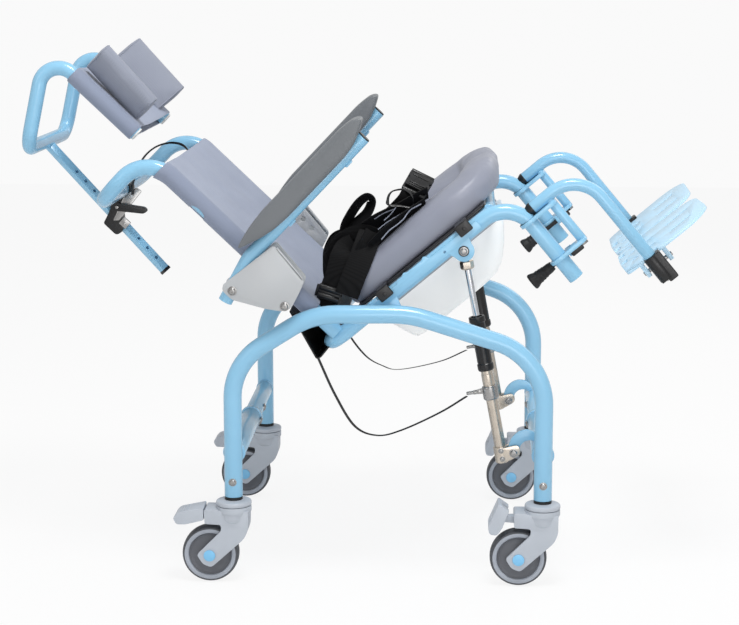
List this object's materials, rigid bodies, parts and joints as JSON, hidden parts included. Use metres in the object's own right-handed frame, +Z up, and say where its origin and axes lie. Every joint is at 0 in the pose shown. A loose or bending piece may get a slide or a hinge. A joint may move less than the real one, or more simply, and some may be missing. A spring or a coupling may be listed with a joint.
{
  "type": "tilting shower commode chair",
  "caption": "Tilting shower commode chair on braked casters with a reclined seat unit, padded arm supports, head support and swing-away leg supports",
  "frame": {"origin": "middle of the footprint on the floor, under the centre of the whole bounding box", "axes": "+X towards the footplates, +Y towards the occupant's left, +Z up"},
  "size_m": [1.2058, 0.652, 0.9331],
  "materials": {
    "blue_coat": "gloss powder coat",
    "pale_blue": "satin powder coat",
    "caster_grey": "satin",
    "tyre_grey": "matt",
    "chrome_rod": "polished",
    "nickel": "nickel plate",
    "black_plastic": "satin",
    "cushion_skin": "smooth foam skin",
    "pan_white": "translucent",
    "grey_cloth": "woven mesh",
    "black_webbing": "woven webbing",
    "plate_grey": "painted satin",
    "pad_grey": "integral foam skin"
  },
  "bodies": {
    "base": {"base_side_tube_right": "blue_coat", "base_side_tube_left": "blue_coat", "caster_stem_rear_right": "caster_grey", "caster_stem_rear_left": "caster_grey", "caster_stem_front_right": "caster_grey", "caster_stem_front_left": "caster_grey", "cable_lower_right": "black_plastic", "cable_lower_left": "black_plastic"},
    "fork_rear_right": {"caster_fork_rear_right": "caster_grey"},
    "fork_rear_left": {"caster_fork_rear_left": "caster_grey"},
    "fork_front_right": {"caster_fork_front_right": "caster_grey"},
    "fork_front_left": {"caster_fork_front_left": "caster_grey"},
    "wheel_rear_right": {"caster_wheel_rear_right": "caster_grey", "caster_tyre_rear_right": "tyre_grey"},
    "wheel_rear_left": {"caster_wheel_rear_left": "caster_grey", "caster_tyre_rear_left": "tyre_grey"},
    "wheel_front_right": {"caster_wheel_front_right": "caster_grey", "caster_tyre_front_right": "tyre_grey"},
    "wheel_front_left": {"caster_wheel_front_left": "caster_grey", "caster_tyre_front_left": "tyre_grey"},
    "pedal_rear_right": {"brake_pedal_rear_right": "caster_grey"},
    "pedal_rear_left": {"brake_pedal_rear_left": "caster_grey"},
    "pedal_front_right": {"brake_pedal_front_right": "caster_grey"},
    "pedal_front_left": {"brake_pedal_front_left": "caster_grey"},
    "strut_tube_right": {"strut_lower_right": "nickel", "strut_cover_right": "black_plastic"},
    "strut_tube_left": {"strut_lower_left": "nickel", "strut_cover_left": "black_plastic"},
    "strut_piston_right": {"strut_rod_right": "chrome_rod"},
    "strut_piston_left": {"strut_rod_left": "chrome_rod"},
    "seat": {"seat_frame": "blue_coat", "cushion_board": "black_plastic", "seat_cushion": "cushion_skin", "pan_carrier": "caster_grey", "back_frame": "blue_coat", "back_sling": "grey_cloth", "rear_flap": "black_webbing", "armrest_bracket_right": "plate_grey", "armrest_bracket_left": "plate_grey", "head_clamp": "black_plastic", "cable_upper": "black_plastic", "belt": "black_webbing"},
    "pan": {"commode_pan": "pan_white"},
    "arm_right": {"arm_tube_right": "blue_coat", "arm_pad_right": "pad_grey"},
    "arm_left": {"arm_tube_left": "blue_coat", "arm_pad_left": "pad_grey"},
    "head": {"head_frame": "blue_coat", "head_sling": "grey_cloth", "head_wing_left": "grey_cloth", "head_wing_right": "grey_cloth"},
    "lever": {"tilt_lever": "black_plastic"},
    "legrest_right": {"hanger_right": "blue_coat", "footplate_hinge_right": "black_plastic"},
    "legrest_left": {"hanger_left": "blue_coat", "footplate_hinge_left": "black_plastic"},
    "latch_right": {"hanger_grip_right": "black_plastic"},
    "latch_left": {"hanger_grip_left": "black_plastic"},
    "plate_right": {"footplate_right": "pale_blue"},
    "plate_left": {"footplate_left": "pale_blue"}
  },
  "joints": [
    {"name": "tilt", "type": "hinge", "parent": "base", "child": "seat", "pos_m": [0.06103, 0, 0.4823], "axis": [0, 1, 0], "range_deg": [0, 30], "deforming": ["cable_lower_right", "cable_lower_left"]},
    {"name": "strut_hinge_right", "type": "hinge", "parent": "base", "child": "strut_tube_right", "pos_m": [0.27573, -0.212, 0.222], "axis": [0, 1, 0], "range_deg": [0, 5]},
    {"name": "strut_hinge_left", "type": "hinge", "parent": "base", "child": "strut_tube_left", "pos_m": [0.27573, 0.212, 0.222], "axis": [0, 1, 0], "range_deg": [0, 5]},
    {"name": "strut_slide_right", "type": "slide", "parent": "strut_tube_right", "child": "strut_piston_right", "axis": [0.1866, 0, -0.9824], "range_m": [0, 0.083]},
    {"name": "strut_slide_left", "type": "slide", "parent": "strut_tube_left", "child": "strut_piston_left", "axis": [0.1866, 0, -0.9824], "range_m": [0, 0.083]},
    {"name": "caster_swivel_rear_right", "type": "hinge", "parent": "base", "child": "fork_rear_right", "pos_m": [-0.21627, -0.28, 0.13], "axis": [0, 0, 1], "continuous": true},
    {"name": "caster_swivel_rear_left", "type": "hinge", "parent": "base", "child": "fork_rear_left", "pos_m": [-0.21627, 0.28, 0.13], "axis": [0, 0, 1], "continuous": true},
    {"name": "caster_swivel_front_right", "type": "hinge", "parent": "base", "child": "fork_front_right", "pos_m": [0.32573, -0.28, 0.13], "axis": [0, 0, 1], "continuous": true},
    {"name": "caster_swivel_front_left", "type": "hinge", "parent": "base", "child": "fork_front_left", "pos_m": [0.32573, 0.28, 0.13], "axis": [0, 0, 1], "continuous": true},
    {"name": "wheel_spin_rear_right", "type": "hinge", "parent": "fork_rear_right", "child": "wheel_rear_right", "pos_m": [-0.25777, -0.28, 0.05], "axis": [0, 1, 0], "continuous": true},
    {"name": "wheel_spin_rear_left", "type": "hinge", "parent": "fork_rear_left", "child": "wheel_rear_left", "pos_m": [-0.25777, 0.28, 0.05], "axis": [0, 1, 0], "continuous": true},
    {"name": "wheel_spin_front_right", "type": "hinge", "parent": "fork_front_right", "child": "wheel_front_right", "pos_m": [0.28423, -0.28, 0.05], "axis": [0, 1, 0], "continuous": true},
    {"name": "wheel_spin_front_left", "type": "hinge", "parent": "fork_front_left", "child": "wheel_front_left", "pos_m": [0.28423, 0.28, 0.05], "axis": [0, 1, 0], "continuous": true},
    {"name": "brake_rear_right", "type": "hinge", "parent": "fork_rear_right", "child": "pedal_rear_right", "pos_m": [-0.29377, -0.28, 0.119], "axis": [0, -1, 0], "range_deg": [0, 55]},
    {"name": "brake_rear_left", "type": "hinge", "parent": "fork_rear_left", "child": "pedal_rear_left", "pos_m": [-0.29377, 0.28, 0.119], "axis": [0, -1, 0], "range_deg": [0, 55]},
    {"name": "brake_front_right", "type": "hinge", "parent": "fork_front_right", "child": "pedal_front_right", "pos_m": [0.24823, -0.28, 0.119], "axis": [0, 1, 0], "range_deg": [0, 55]},
    {"name": "brake_front_left", "type": "hinge", "parent": "fork_front_left", "child": "pedal_front_left", "pos_m": [0.24823, 0.28, 0.119], "axis": [0, 1, 0], "range_deg": [0, 55]},
    {"name": "arm_flip_right", "type": "hinge", "parent": "seat", "child": "arm_right", "pos_m": [-0.21166, -0.296, 0.52414], "axis": [0, -1, 0], "range_deg": [0, 90]},
    {"name": "arm_flip_left", "type": "hinge", "parent": "seat", "child": "arm_left", "pos_m": [-0.21166, 0.296, 0.52414], "axis": [0, -1, 0], "range_deg": [0, 90]},
    {"name": "head_slide", "type": "slide", "parent": "seat", "child": "head", "axis": [-0.6727, 0, 0.7399], "range_m": [-0.024, 0.072]},
    {"name": "lever_squeeze", "type": "hinge", "parent": "seat", "child": "lever", "pos_m": [-0.45689, -0.025, 0.63182], "axis": [0, -1, 0], "range_deg": [0, 18], "stiffness_Nm_per_rad": 0.6},
    {"name": "pan_slide", "type": "slide", "parent": "seat", "child": "pan", "axis": [0.766, 0, 0.6428], "range_m": [0, 0.25]},
    {"name": "legrest_swing_right", "type": "hinge", "parent": "seat", "child": "legrest_right", "pos_m": [0.32449, -0.24, 0.60547], "axis": [0.6428, 0, -0.766], "range_deg": [0, 90]},
    {"name": "legrest_swing_left", "type": "hinge", "parent": "seat", "child": "legrest_left", "pos_m": [0.32449, 0.24, 0.60547], "axis": [-0.6428, 0, 0.766], "range_deg": [0, 90]},
    {"name": "latch_pull_right", "type": "slide", "parent": "legrest_right", "child": "latch_right", "axis": [-0.766, 0, -0.6428], "range_m": [0, 0.008], "stiffness_N_per_m": 400},
    {"name": "latch_pull_left", "type": "slide", "parent": "legrest_left", "child": "latch_left", "axis": [-0.766, 0, -0.6428], "range_m": [0, 0.008], "stiffness_N_per_m": 400},
    {"name": "plate_flip_right", "type": "hinge", "parent": "legrest_right", "child": "plate_right", "pos_m": [0.52196, -0.201, 0.55838], "axis": [0.766, 0, 0.6428], "range_deg": [0, 88]},
    {"name": "plate_flip_left", "type": "hinge", "parent": "legrest_left", "child": "plate_left", "pos_m": [0.52196, 0.201, 0.55838], "axis": [-0.766, 0, -0.6428], "range_deg": [0, 88]}
  ],
  "couplings": [
    {"joint": "strut_hinge_right", "follows": "tilt", "ratio": 0.154},
    {"joint": "strut_hinge_left", "follows": "tilt", "ratio": 0.154},
    {"joint": "strut_slide_right", "follows": "tilt", "m_per_rad": 0.1555},
    {"joint": "strut_slide_left", "follows": "tilt", "m_per_rad": 0.1555}
  ]
}
